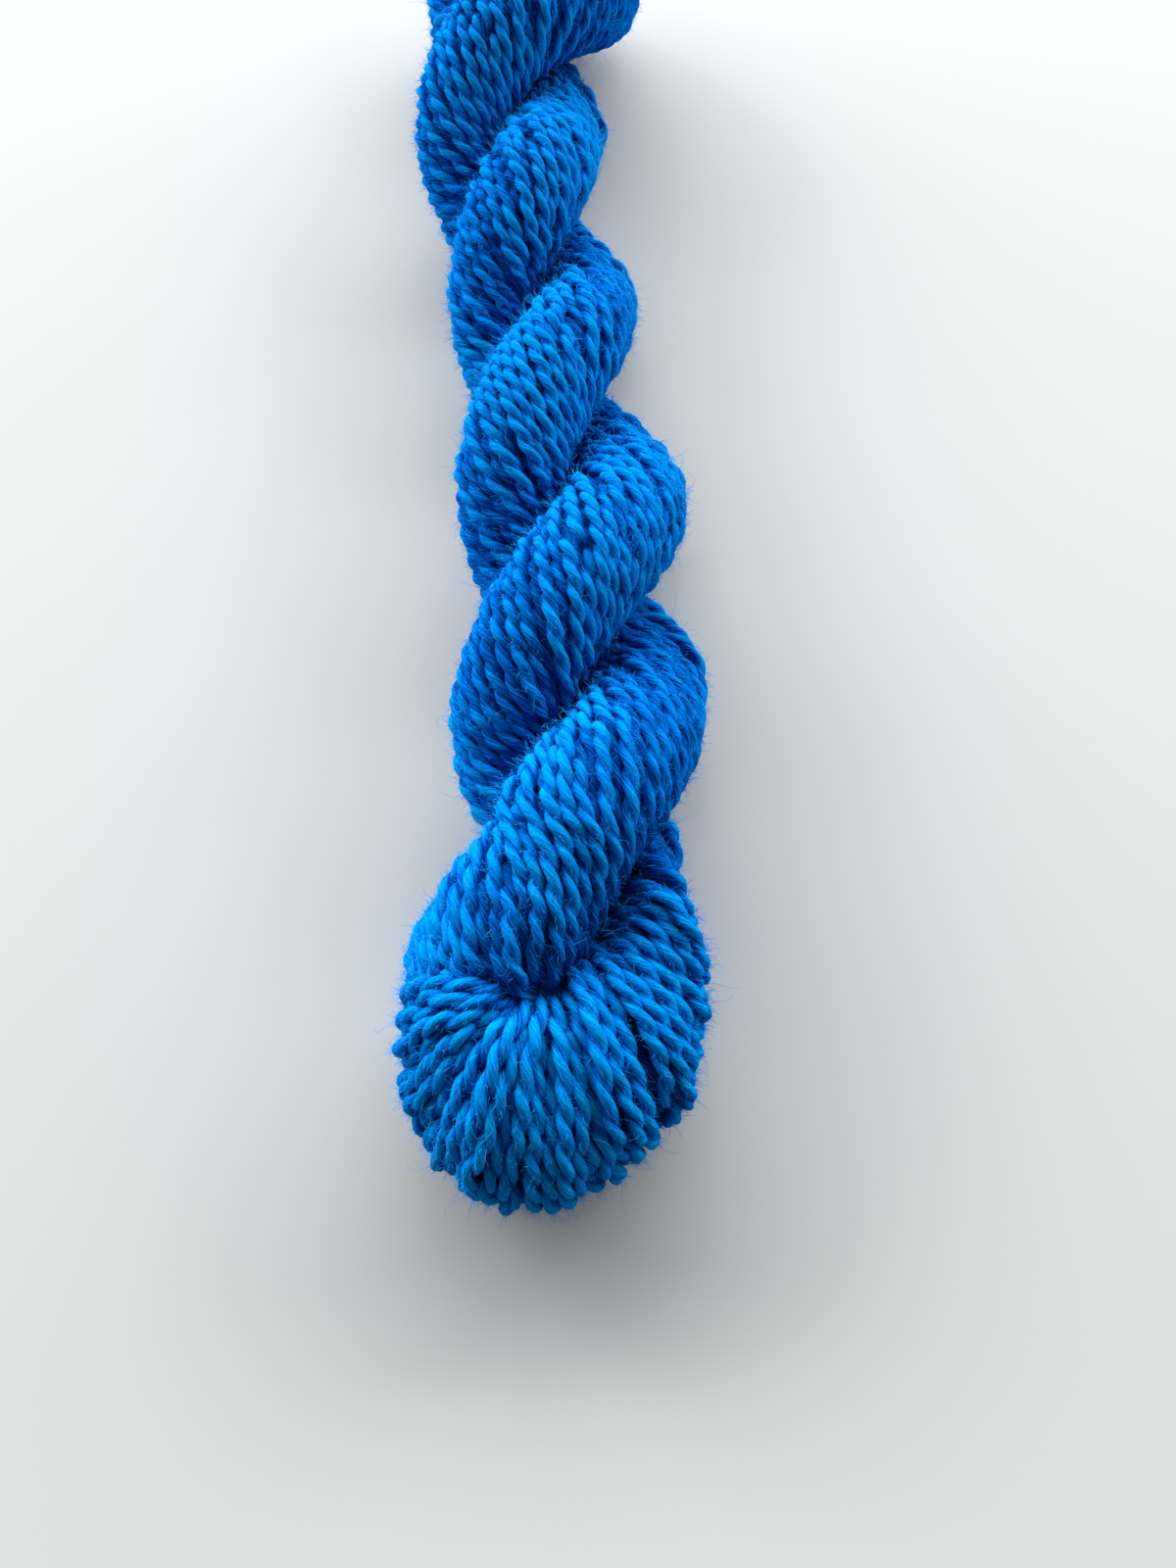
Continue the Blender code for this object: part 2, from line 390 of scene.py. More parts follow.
def loop_paths(settings):
    """The middle of each loop of the rosette: out of the crease, over the dome, round the rim and under."""
    rng = np.random.default_rng(SEED + 1)
    thick = settings.yarn_thickness / MM
    rows = np.arange(len(LOOPS))
    paths = []
    for layer, count in ((0, settings.loops), (1, settings.loops - 1)):
        for k in range(count):
            between = k + 0.5 * layer + rng.uniform(-LOOP_UNEVEN, LOOP_UNEVEN)
            at = between / (settings.loops - 1) * rows[-1]
            row = [np.interp(at, rows, column) for column in LOOPS.T]
            leave, meet = (np.array((math.cos(b), math.sin(b))) for b in np.radians(row[4:6]))
            start = np.array(row[0:2]) - leave * (LOOP_TUCK + LAYER_TUCK * layer)
            beyond = rng.uniform(*RIM_UNEVEN) - thick / 2.0 - RIM_INSET - LAYER_INSET * layer
            rim = np.array(row[2:4]) + meet * beyond
            apart = np.linalg.norm(rim - start)
            # The first stretch climbs out of the crease, and the second goes over in a quarter round.
            climb = np.linspace(0.0, 1.0, LOOP_CLIMB_POINTS + 1)[:-1]
            over = np.linspace(0.0, 0.5 * math.pi, LOOP_OVER_POINTS)
            climbed = LOOP_CLIMB_SHARE
            u = np.concatenate((climbed * climb, climbed + (1.0 - climbed) * np.sin(over)))
            turned = np.concatenate((np.zeros(LOOP_CLIMB_POINTS), over))
            sunk = np.concatenate((1.0 - np.sin(0.5 * math.pi * climb), np.zeros(LOOP_OVER_POINTS)))
            plan = (
                np.outer(2 * u**3 - 3 * u**2 + 1, start)
                + np.outer(u**3 - 2 * u**2 + u, leave) * apart
                + np.outer(-2 * u**3 + 3 * u**2, rim)
                + np.outer(u**3 - u**2, meet) * apart
            )
            crown = ROSETTE_CROWN * row[6] + rng.uniform(*CROWN_UNEVEN)
            crown = crown - thick / 2.0 - LAYER_CROWN_DROP * thick * layer
            axis = ROSETTE_AXIS_HEIGHT - LAYER_AXIS_DROP * layer
            z = axis + crown * np.cos(turned) - LOOP_SINK * sunk
            # It comes back under itself, along the same line in plan.
            back = np.linspace(0.0, 0.5 * math.pi, LOOP_BACK_POINTS)[1:]
            back_u = LOOP_BACK_SHARE + (1.0 - LOOP_BACK_SHARE) * np.cos(back)
            back_plan = np.stack([np.interp(back_u, u, plan[:, c]) for c in range(2)], axis=1)
            back_z = axis - (axis - thick * (BOTTOM_REST + LAYER_BOTTOM_RISE * layer)) * np.sin(back)
            line = np.concatenate((np.column_stack((plan, z)), np.column_stack((back_plan, back_z))))
            sway = wander(rng, len(line), LOOP_SWAY[1]) * LOOP_SWAY[0]
            sway = sway * np.sin(np.linspace(0.0, math.pi, len(line)))
            line[:, 0] -= sway * meet[1]
            line[:, 1] += sway * meet[0]
            paths.append(evenly(line - SKEIN_MIDDLE, YARN_STEP))
    return paths


# How far the points of a length of yarn are apart.
YARN_STEP = 0.9
SETTLE_ROUNDS = 8
# Soft yarn gives where it is pressed, so lengths of it may be this share of its thickness apart.
SETTLE_SHARE = 0.8
# In each round a point goes this share of the way out, and in all it moves this many millimetres at most.
SETTLE_GAIN = 0.45
SETTLE_MOST = 1.3
# Points of one length that are fewer than this apart along it don't push each other.
OWN_NEIGHBOURS = 8
PUSH_SMOOTHINGS = 2
# The middle of a length lies at least this share of its thickness over the surface.
LOWEST_SHARE = 0.54
# Points nearer than this count as one point, and a length under TINY counts as none.
SAME_PLACE = 1e-6
TINY = 1e-9


def eased_apart(paths, thick):
    """The paths moved a little, so lengths of yarn that run into each other lie side by side instead."""
    points = np.concatenate(paths)
    strand = np.repeat(np.arange(len(paths)), [len(path) for path in paths])
    ends = np.flatnonzero(np.diff(strand)) + 1
    start = points.copy()
    reach = SETTLE_SHARE * thick
    for _ in range(SETTLE_ROUNDS):
        tree = KDTree(len(points))
        for i, point in enumerate(points):
            tree.insert(point, i)
        tree.balance()
        push = np.zeros_like(points)
        for i, point in enumerate(points):
            deepest = 0.0
            for place, j, apart in tree.find_range(point, reach):
                if (strand[i] == strand[j] and abs(i - j) < OWN_NEIGHBOURS) or apart < SAME_PLACE:
                    continue
                inward = reach - apart
                push[i] += (point - place) * (inward / apart)
                deepest = max(deepest, inward)
            size = np.linalg.norm(push[i])
            if size > TINY:
                push[i] *= SETTLE_GAIN * deepest / size
        for _ in range(PUSH_SMOOTHINGS):
            smooth = push.copy()
            smooth[1:-1] = (push[:-2] + 2.0 * push[1:-1] + push[2:]) / 4.0
            smooth[ends] = push[ends]
            smooth[ends - 1] = push[ends - 1]
            push = smooth
        moved = points + push - start
        far = np.linalg.norm(moved, axis=1)[:, None]
        points = start + moved * np.minimum(1.0, SETTLE_MOST / np.maximum(far, TINY))
        points[:, 2] = np.maximum(points[:, 2], LOWEST_SHARE * thick)
    return np.split(points, ends)


# How crowded the space is with yarn is counted in cells of this many millimetres, with so many empty ones
# all round, and blurred. A slope as steep as this percentile of them counts as fully open.
CELL = 1.2
EMPTY_CELLS = 8
BLUR_ROUNDS = 3
BLUR = (1.0, 2.0, 3.0, 2.0, 1.0)
OPEN_PERCENTILE = 70
WAY_SMOOTHINGS = 3


def ways_out(paths):
    """At each point of the paths, the way to the skein's outside, as long as the point is open to it.

    It is the slope of how crowded with yarn the space is: long on a crown, and short deep in a crease.
    """
    points = np.concatenate(paths)
    low = points.min(axis=0) - EMPTY_CELLS * CELL
    cells = np.round((points - low) / CELL).astype(int)
    crowd = np.zeros(cells.max(axis=0) + EMPTY_CELLS + 1)
    np.add.at(crowd, tuple(cells.T), 1.0)
    for axis in range(3):
        for _ in range(BLUR_ROUNDS):
            crowd = np.apply_along_axis(np.convolve, axis, crowd, np.array(BLUR) / sum(BLUR), "same")
    slope = np.stack(np.gradient(crowd), axis=-1)[tuple(cells.T)]
    out = -slope / np.percentile(np.linalg.norm(slope, axis=1), OPEN_PERCENTILE)
    ends = np.cumsum([len(path) for path in paths])[:-1]
    smoothed = []
    for way in np.split(out, ends):
        for _ in range(WAY_SMOOTHINGS):
            way = np.concatenate((way[:1], (way[:-2] + way[1:-1] + way[2:]) / 3.0, way[-1:]))
        smoothed.append(way)
    return smoothed


# The crease where the upper ply's end meets the rosette is drawn darker than the lights make it. The yarn
# beside it loses this share of its openness at most, which fades over this many millimetres.
CREASE_SHADE = 0.95
CREASE_REACH = 6.0
CREASE_POINTS = 120


def painted_crease_shade(points):
    """The share of openness left to points of the yarn for its painted shade, cut deeper by how near the
    rosette's crease they are.
    """
    rows = np.arange(len(LOOPS))
    at = np.linspace(0.0, rows[-1], CREASE_POINTS)
    line = np.stack([np.interp(at, rows, LOOPS[:, c]) for c in (0, 1)], axis=1)
    gap = np.linalg.norm((points + SKEIN_MIDDLE)[:, None, :2] - line, axis=2).min(axis=1)
    return 1.0 - CREASE_SHADE * np.exp(-((gap / CREASE_REACH) ** 2))


YARN_PLIES = 2
POINTS_PER_PLY = 6
# The plies of the yarn are soft and round, and sink into each other: one ply's radius and its middle's
# distance from the yarn's middle, as shares of the yarn's radius.
PLY_RADIUS = 0.62
PLY_REACH = 0.38
# How uneven the yarn is: the length of a turn, as shares of it; the angle of its plies, in radians, and its
# thickness, as a share, each with a new value after so many points.
TWIST_UNEVEN = (0.92, 1.08)
ANGLE_UNEVEN = (0.5, 20)
THICKNESS_UNEVEN = (0.07, 8)
# Points of a mesh that are closer than this, in metres, are made one.
MERGE_DISTANCE = 1e-7


def swept(name, paths, section, radii=None, tilts=None, ways=None):
    """Lengths along paths in millimetres as one mesh, with a closed outline as their section.

    In the UV map, U is the distance along a length in millimetres, and V is the share of the way round
    it, plus a whole number for the length.
    """
    scene = bpy.context.scene.collection
    outline = bpy.data.curves.new(name + "_section", "CURVE")
    outline.dimensions = "2D"
    spline = outline.splines.new("POLY")
    spline.points.add(len(section) - 1)
    for point, (x, y) in zip(spline.points, section):
        point.co = (x * MM, y * MM, 0.0, 1.0)
    spline.use_cyclic_u = True
    outline_holder = bpy.data.objects.new(name + "_section", outline)
    scene.objects.link(outline_holder)
    curve = bpy.data.curves.new(name + "_paths", "CURVE")
    curve.dimensions = "3D"
    curve.bevel_mode = "OBJECT"
    curve.bevel_object = outline_holder
    curve.use_fill_caps = True
    for i, path in enumerate(paths):
        spline = curve.splines.new("POLY")
        spline.points.add(len(path) - 1)
        spline.points.foreach_set("co", np.column_stack((path * MM, np.ones(len(path)))).ravel())
        if radii is not None:
            spline.points.foreach_set("radius", radii[i])
        if tilts is not None:
            spline.points.foreach_set("tilt", tilts[i])
    guide = bpy.data.objects.new(name + "_paths", curve)
    scene.objects.link(guide)
    bpy.context.view_layer.update()
    mesh = bpy.data.meshes.new_from_object(guide.evaluated_get(bpy.context.evaluated_depsgraph_get()))
    mesh.name = name
    for helper in (guide, outline_holder):
        bpy.data.objects.remove(helper)
    mark_lengths(mesh, paths, len(section))
    if ways is not None:
        mark_openness(mesh, paths, len(section), ways)
    shape = bmesh.new()
    shape.from_mesh(mesh)
    bmesh.ops.remove_doubles(shape, verts=shape.verts, dist=MERGE_DISTANCE)
    bmesh.ops.recalc_face_normals(shape, faces=shape.faces)
    shape.to_mesh(mesh)
    shape.free()
    mesh.shade_smooth()
    piece = bpy.data.objects.new(name, mesh)
    scene.objects.link(piece)
    return piece


def mark_lengths(mesh, paths, sides):
    """The UV map in millimetres along each length, with a whole number in V for each length."""
    layer = mesh.uv_layers[0].data
    uv = np.zeros(2 * len(layer))
    layer.foreach_get("uv", uv)
    uv = uv.reshape(-1, 2)
    # The corners of both caps' triangles come first.
    at = 3 * 2 * (sides - 2) * len(paths)
    uv[:at] = (0.0, 0.5)
    for k, path in enumerate(paths):
        corners = 4 * sides * (len(path) - 1)
        point = np.round(uv[at : at + corners, 0] * (len(path) - 1)).astype(int)
        uv[at : at + corners, 0] = lengths_along(path)[point]
        uv[at : at + corners, 1] += k
        at += corners
    layer.foreach_set("uv", uv.ravel())


def mark_openness(mesh, paths, sides, ways):
    """How open each point is, from the way it faces, as an attribute of the mesh, which the yarn's material
    turns into painted shade and painted light.
    """
    places = np.zeros(3 * len(mesh.vertices))
    mesh.vertices.foreach_get("co", places)
    middles = np.repeat(np.concatenate(paths), sides, axis=0)
    radial = places.reshape(-1, 3)[-len(middles) :] / MM - middles
    radial /= np.maximum(np.linalg.norm(radial, axis=1)[:, None], SAME_PLACE)
    open_to = np.zeros(len(mesh.vertices))
    open_to[-len(middles) :] = (radial * np.repeat(np.concatenate(ways), sides, axis=0)).sum(axis=1)
    marks = mesh.attributes.new("openness", "FLOAT", "POINT")
    marks.data.foreach_set("value", open_to)


def spun_yarn(name, paths, ways, settings, rng):
    """Lengths of plied yarn along their paths, as one mesh with its plies twisted."""
    thick = settings.yarn_thickness / MM
    meeting = math.acos(-PLY_REACH / PLY_RADIUS)
    section = []
    for ply in range(YARN_PLIES):
        for i in range(POINTS_PER_PLY):
            angle = meeting * (2.0 * i / POINTS_PER_PLY - 1.0)
            x = PLY_REACH + PLY_RADIUS * math.cos(angle)
            y = PLY_RADIUS * math.sin(angle)
            turn = 2.0 * math.pi * ply / YARN_PLIES
            across = (x * math.cos(turn) - y * math.sin(turn), x * math.sin(turn) + y * math.cos(turn))
            section.append((0.5 * thick * across[0], 0.5 * thick * across[1]))
    tilts = []
    radii = []
    for path in paths:
        turns = lengths_along(path) * MM / (settings.yarn_twist * rng.uniform(*TWIST_UNEVEN)) + rng.random()
        tilts.append(-2.0 * math.pi * turns + ANGLE_UNEVEN[0] * wander(rng, len(path), ANGLE_UNEVEN[1]))
        radii.append(1.0 + THICKNESS_UNEVEN[0] * wander(rng, len(path), THICKNESS_UNEVEN[1]))
    # Beside the rosette's crease the ways are cut short, so the material paints shade there.
    painted_shading = [way * painted_crease_shade(path)[:, None] for path, way in zip(paths, ways)]
    return swept(name, paths, section, radii, tilts, painted_shading)


def add_node(tree, kind, settings=(), inputs=()):
    """A node with its settings, and with its inputs set to numbers or linked to other nodes' outputs."""
    node = tree.nodes.new(kind)
    for key, value in dict(settings).items():
        setattr(node, key, value)
    for key, value in dict(inputs).items():
        if isinstance(value, bpy.types.NodeSocket):
            tree.links.new(value, node.inputs[key])
        else:
            node.inputs[key].default_value = value
    return node


# The yarn's colour has painted shade in the groove where its plies press together, and painted light on a
# ply's open top. Its creases get painted shade too, by the "openness" attribute, which adds to the lights'
# own shade. The colour follows a level, which is 0 at the deepest and 1 at the palest.
# The level of the painted shade in the groove between two plies, and the share of the way round one ply
# that it rises over.
GROOVE_LEVEL = 0.2
GROOVE_WIDTH = 0.22
# The range of openness that counts, and the shares of the level that are left at its ends: painted shade
# where the yarn is least open, painted light where it is most.
OPENNESS_RANGE = (-0.05, 0.75)
OPENNESS_LEVELS = (0.1, 0.72)
# Wool fibres are 0.03 mm thick, too fine to show here, so the streaks of a bunch of them are drawn, as a
# bump and in the colour, where the pale streaks are partly a painted silky highlight. The widths, lengths
# and heights are in millimetres. The shares say how far streaks and patches of dye move the level.
STREAK_WIDTH = 0.4
STREAK_LENGTH = 4.5
STREAK_HEIGHT = 0.8
STREAK_DETAIL = 3.0
STREAK_GRAIN = 0.65
STREAK_SHARE = 2.6
PATCH_LENGTH = 8.0
PATCH_SHARE = 0.5
# V is the same whole number all round a length, and U is left almost as it is.
SNAP_TO_LENGTH = (0.01, 1.0, 1.0)
YARN_ROUGHNESS = 0.5
# Light goes a little way into blue wool: how much of it does, how far in millimetres, and the shares of
# that distance for red, green and blue.
YARN_SCATTER = 0.15
YARN_SCATTER_DEPTH = 0.6
YARN_SCATTER_SHARES = (0.1, 0.5, 1.0)
# Short fibres on the surface give a soft rim of light.
YARN_SHEEN = 0.5
YARN_SHEEN_ROUGHNESS = 0.35


def yarn_material(settings):
    """Plied wool, spun from combed fibre, which leaves streaks along each ply, with painted shade and
    painted highlights in its colour.
    """
    material = bpy.data.materials.new("plied_dyed_wool")
    material.use_nodes = True
    tree = material.node_tree
    shader = tree.nodes["Principled BSDF"]
    uv = add_node(tree, "ShaderNodeUVMap").outputs[0]
    streak_scale = (1.0 / STREAK_LENGTH, math.pi * settings.yarn_thickness / MM / STREAK_WIDTH, 1.0)
    streak_place = add_node(tree, "ShaderNodeMapping", inputs={"Vector": uv, "Scale": streak_scale})
    streaks_and_highlights = add_node(
        tree,
        "ShaderNodeTexNoise",
        inputs={
            "Vector": streak_place.outputs[0],
            "Scale": 1.0,
            "Detail": STREAK_DETAIL,
            "Roughness": STREAK_GRAIN,
        },
    )
    # Every length of yarn took the dye a little differently, and each took it in patches.
    length = add_node(tree, "ShaderNodeVectorMath", {"operation": "SNAP"}, {0: uv, 1: SNAP_TO_LENGTH})
    patch_scale = (1.0 / PATCH_LENGTH, 1.0, 1.0)
    patch_place = add_node(
        tree, "ShaderNodeMapping", inputs={"Vector": length.outputs[0], "Scale": patch_scale}
    )
    patches = add_node(
        tree, "ShaderNodeTexNoise", inputs={"Vector": patch_place.outputs[0], "Scale": 1.0, "Detail": 1.0}
    )

    around = add_node(tree, "ShaderNodeSeparateXYZ", inputs={0: uv}).outputs[1]
    ply = add_node(tree, "ShaderNodeMath", {"operation": "MULTIPLY"}, {0: around, 1: YARN_PLIES})
    from_groove = add_node(tree, "ShaderNodeMath", {"operation": "PINGPONG"}, {0: ply.outputs[0], 1: 0.5})
    # Painted shade in the groove between the two plies of the yarn.
    painted_groove_shade = add_node(
        tree,
        "ShaderNodeMapRange",
        {"interpolation_type": "SMOOTHSTEP"},
        {"Value": from_groove.outputs[0], "From Max": GROOVE_WIDTH, "To Min": GROOVE_LEVEL},
    )
    openness = add_node(tree, "ShaderNodeAttribute", {"attribute_name": "openness"})
    # Painted shade where the yarn is hidden in creases, painted light where it is open.
    painted_shading = add_node(
        tree,
        "ShaderNodeMapRange",
        {"interpolation_type": "SMOOTHSTEP"},
        {
            "Value": openness.outputs["Fac"],
            "From Min": OPENNESS_RANGE[0],
            "From Max": OPENNESS_RANGE[1],
            "To Min": OPENNESS_LEVELS[0],
            "To Max": OPENNESS_LEVELS[1],
        },
    )
    level = add_node(
        tree, "ShaderNodeMath", {"operation": "MULTIPLY"}, {0: painted_groove_shade.outputs[0], 1: painted_shading.outputs[0]}
    )
    for noise, share in ((streaks_and_highlights, STREAK_SHARE), (patches, PATCH_SHARE)):
        even = add_node(tree, "ShaderNodeMath", {"operation": "SUBTRACT"}, {0: noise.outputs[0], 1: 0.5})
        level = add_node(
            tree,
            "ShaderNodeMath",
            {"operation": "MULTIPLY_ADD"},
            {0: even.outputs[0], 1: share, 2: level.outputs[0]},
        )
    # The ramp paints the shade with the deep colour and the highlights with the pale one.
    ramp = add_node(tree, "ShaderNodeValToRGB", inputs={0: level.outputs[0]})
    stops = ramp.color_ramp.elements
    stops[0].position, stops[0].color = 0.0, settings.shaded_dye
    stops[1].position, stops[1].color = 1.0, settings.highlit_dye
    stops.new(0.5).color = settings.dye_body
    tree.links.new(ramp.outputs[0], shader.inputs["Base Color"])

    bump = add_node(
        tree,
        "ShaderNodeBump",
        inputs={"Height": streaks_and_highlights.outputs[0], "Strength": 1.0, "Distance": STREAK_HEIGHT * MM},
    )
    tree.links.new(bump.outputs[0], shader.inputs["Normal"])
    shader.inputs["Roughness"].default_value = YARN_ROUGHNESS
    shader.inputs["Subsurface Weight"].default_value = YARN_SCATTER
    shader.inputs["Subsurface Radius"].default_value = YARN_SCATTER_SHARES
    shader.inputs["Subsurface Scale"].default_value = YARN_SCATTER_DEPTH * MM
    # Fibres scatter light in their own colour and show no mirror gloss.
    shader.inputs["Specular IOR Level"].default_value = 0.0
    shader.inputs["Sheen Weight"].default_value = YARN_SHEEN
    shader.inputs["Sheen Roughness"].default_value = YARN_SHEEN_ROUGHNESS
    shader.inputs["Sheen Tint"].default_value = settings.sheen
    return material


# U is the same all along a fibre, because the step is longer than any, and V is a whole number for each.
SNAP_TO_FIBRE = (1000.0, 1.0, 1.0)
FIBRE_ROUGHNESS = 0.6
FIBRE_GLOSS = 0.1


def fuzz_material(settings):
    """Single wool fibres off the yarn. They let light through, so they look paler than the yarn."""
    material = bpy.data.materials.new("dyed_wool_fibre")
    material.use_nodes = True
    tree = material.node_tree
    shader = tree.nodes["Principled BSDF"]
    uv = add_node(tree, "ShaderNodeUVMap").outputs[0]
    hair = add_node(tree, "ShaderNodeVectorMath", {"operation": "SNAP"}, {0: uv, 1: SNAP_TO_FIBRE})
    own = add_node(tree, "ShaderNodeTexWhiteNoise", inputs={"Vector": hair.outputs[0]})
    # Each fibre has one colour, between the two in the settings.
    ramp = add_node(tree, "ShaderNodeValToRGB", inputs={0: own.outputs[0]})
    stops = ramp.color_ramp.elements
    stops[0].color = settings.fibre_deep
    stops[1].color = settings.fibre_pale
    tree.links.new(ramp.outputs[0], shader.inputs["Base Color"])
    shader.inputs["Roughness"].default_value = FIBRE_ROUGHNESS
    shader.inputs["Specular IOR Level"].default_value = FIBRE_GLOSS
    return material


# Kinds of loose fibre. Columns: share of the hairs, shortest and longest in millimetres, rise off the
# yarn, points along a hair.
HAIR_KINDS = (
    (0.2, 0.8, 1.8, 0.2, 2),
    (0.75, 0.5, 2.2, 0.66, 2),
    (0.04, 1.2, 3.2, 0.6, 4),
    (0.01, 2.5, 6.0, 0.55, 7),
)
# Tufts of long hairs. Columns: the middle's place along x and y and its height, its reach, hairs.
TUFTS = (
    (5.3, -96.4, 21.0, 6.0, 110),
    (12.0, -89.0, 21.0, 5.0, 40),
    (6.1, 90.8, 15.0, 7.0, 40),
    (23.0, -4.0, 14.0, 6.0, 30),
    (25.5, -95.2, 12.0, 6.0, 30),
    (2.0, -126.0, 9.0, 12.0, 70),
)
# Shortest and longest, rise and points of a tuft's hairs.
TUFT_KIND = (2.0, 7.0, 0.6, 7)
# Where the yarn faces further down than this, the surface under it lays its hairs flat.
HAIR_LOWEST_SLOPE = -0.45
# Outside the tufts, hairs stand only where the yarn is at least this open, and its middle at least this
# many times its thickness over the surface.
HAIR_OPENNESS = 0.3
HAIR_LOWEST_ROOT = 0.8
# A hair starts this far off the yarn's middle, as a share of the yarn's thickness, and up to this far along
# it from the point that it belongs to.
HAIR_ROOT = 0.42
HAIR_SHIFT = 0.5
# How unevenly hairs stand: off the yarn, along it, in their rise, in their bend and from point to point.
HAIR_AWAY_UNEVEN = 0.45
HAIR_ALONG_UNEVEN = 0.5
HAIR_RISE_UNEVEN = (0.3, 1.5)
HAIR_BEND = 0.5
HAIR_KINK = 0.1
# No point of a hair is lower than this over the surface.
HAIR_LOWEST = 0.1
# A wool fibre is 0.03 mm thick, and is drawn at about twice that to show at this distance. Its section
# has three corners, at these bearings in radians, and its tip is this share as thick as its root.
HAIR_RADIUS = 0.031
HAIR_CORNERS = (0.0, 2.1, 4.2)
HAIR_TIP = 0.5


def unit(vectors):
    """Each of the vectors at a length of one."""
    return vectors / np.maximum(np.linalg.norm(vectors, axis=-1, keepdims=True), TINY)


def fuzz_paths(paths, ways, settings):
    """Short curled hairs on the outside of the yarn."""
    rng = np.random.default_rng(SEED + 4)
    thick = settings.yarn_thickness / MM
    points = np.concatenate(paths)
    out = np.concatenate(ways)
    along = np.concatenate([directions(path) for path in paths])
    open_to_air = (np.linalg.norm(out, axis=1) > HAIR_OPENNESS) & (unit(out)[:, 2] > HAIR_LOWEST_SLOPE)
    outer = np.flatnonzero(open_to_air & (points[:, 2] > HAIR_LOWEST_ROOT * thick))
    groups = [(rng.choice(outer, round(share * settings.hairs)), *kind) for share, *kind in HAIR_KINDS]
    for *place, reach, count in TUFTS:
        near = np.flatnonzero(np.linalg.norm(points + SKEIN_MIDDLE - place, axis=1) < reach)
        groups.append((rng.choice(near, count), *TUFT_KIND))
    hairs = []
    for root, shortest, longest, rise, stops in groups:
        count = len(root)
        away = unit(unit(out[root]) + rng.normal(0.0, HAIR_AWAY_UNEVEN, (count, 3)))
        lean = along[root] * rng.choice((-1.0, 1.0), (count, 1))
        lean = lean + rng.normal(0.0, HAIR_ALONG_UNEVEN, (count, 3))
        way = unit(away * rise * rng.uniform(*HAIR_RISE_UNEVEN, (count, 1)) + unit(lean) * (1.0 - rise))
        bend = rng.normal(0.0, HAIR_BEND, (count, 3))
        # There are far more short hairs than long ones.
        step = (shortest + (longest - shortest) * rng.random((count, 1)) ** 2) / (stops - 1)
        place = points[root] + rng.uniform(-HAIR_SHIFT, HAIR_SHIFT, (count, 1)) * along[root]
        place = place + away * HAIR_ROOT * thick
        line = [place]
        for _ in range(stops - 1):
            place = place + way * step
            line.append(place)
            way = unit(way + np.cross(bend, way) * step + rng.normal(0.0, HAIR_KINK, (count, 3)))
        line = np.stack(line, axis=1)
        line[:, :, 2] = np.maximum(line[:, :, 2], HAIR_LOWEST)
        hairs += list(line)
    return hairs


def put_on(piece, material):
    """A finished piece: its material, its body and the solid that it stands for."""
    piece.data.materials.clear()
    piece.data.materials.append(material)
    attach(piece, "root")
    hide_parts("skein")


def dyed_wool(settings):
    """The yarn's material, made once."""
    return bpy.data.materials.get("plied_dyed_wool") or yarn_material(settings)


# The settled paths, kept between operators.
YARN = {}


def laid_yarn(settings):
    """The settled paths and ways out of the turns and of the loops, worked out once for all operators."""
    if not YARN:
        turns = turn_paths(settings)
        loops = loop_paths(settings)
        paths = eased_apart(turns + loops, settings.yarn_thickness / MM)
        ways = ways_out(paths)
        YARN["turns"] = paths[: len(turns)], ways[: len(turns)]
        YARN["loops"] = paths[len(turns) :], ways[len(turns) :]
    return YARN


class SKEIN_OT_wind_turns(Operator):
    """Winds the lengths of yarn round the rope's two plies"""

    bl_idname = "skein.wind_turns"
    bl_label = "Wind turns"

    def execute(self, context):
        settings = context.scene.skein
        rng = np.random.default_rng(SEED + 2)
        paths, ways = laid_yarn(settings)["turns"]
        for i, name in enumerate(("turns_a", "turns_b", "turns_c")):
            put_on(spun_yarn(name, paths[i::3], ways[i::3], settings, rng), dyed_wool(settings))
        return {"FINISHED"}


class SKEIN_OT_spread_rosette(Operator):
    """Spreads the loops of yarn at the skein's near end"""

    bl_idname = "skein.spread_rosette"
    bl_label = "Spread rosette"

    def execute(self, context):
        settings = context.scene.skein
        rng = np.random.default_rng(SEED + 3)
        paths, ways = laid_yarn(settings)["loops"]
        put_on(spun_yarn("rosette_loops", paths, ways, settings, rng), dyed_wool(settings))
        return {"FINISHED"}


# The heart's radius is the hank's, less so many thicknesses of yarn, times the share.
HEART_INSET = 0.95
HEART_SHARE = 0.93
HEART_STEP = 2.0
HEART_SIDES = 24


class SKEIN_OT_fill_heart(Operator):
    """Fills the hank with the turns that lie under the outer ones, as one soft bundle"""

    bl_idname = "skein.fill_heart"
    bl_label = "Fill heart"

    def execute(self, context):
        settings = context.scene.skein
        thick = settings.yarn_thickness / MM
        path = hank_path(HEART_STEP)
        angles = [2.0 * math.pi * i / HEART_SIDES for i in range(HEART_SIDES)]
        ring = [(math.cos(a), math.sin(a)) for a in angles]
        radii = (path[:, 3] - HEART_INSET * thick) * HEART_SHARE
        put_on(swept("heart", [settled(path[:, :3])], ring, [radii]), dyed_wool(settings))
        return {"FINISHED"}


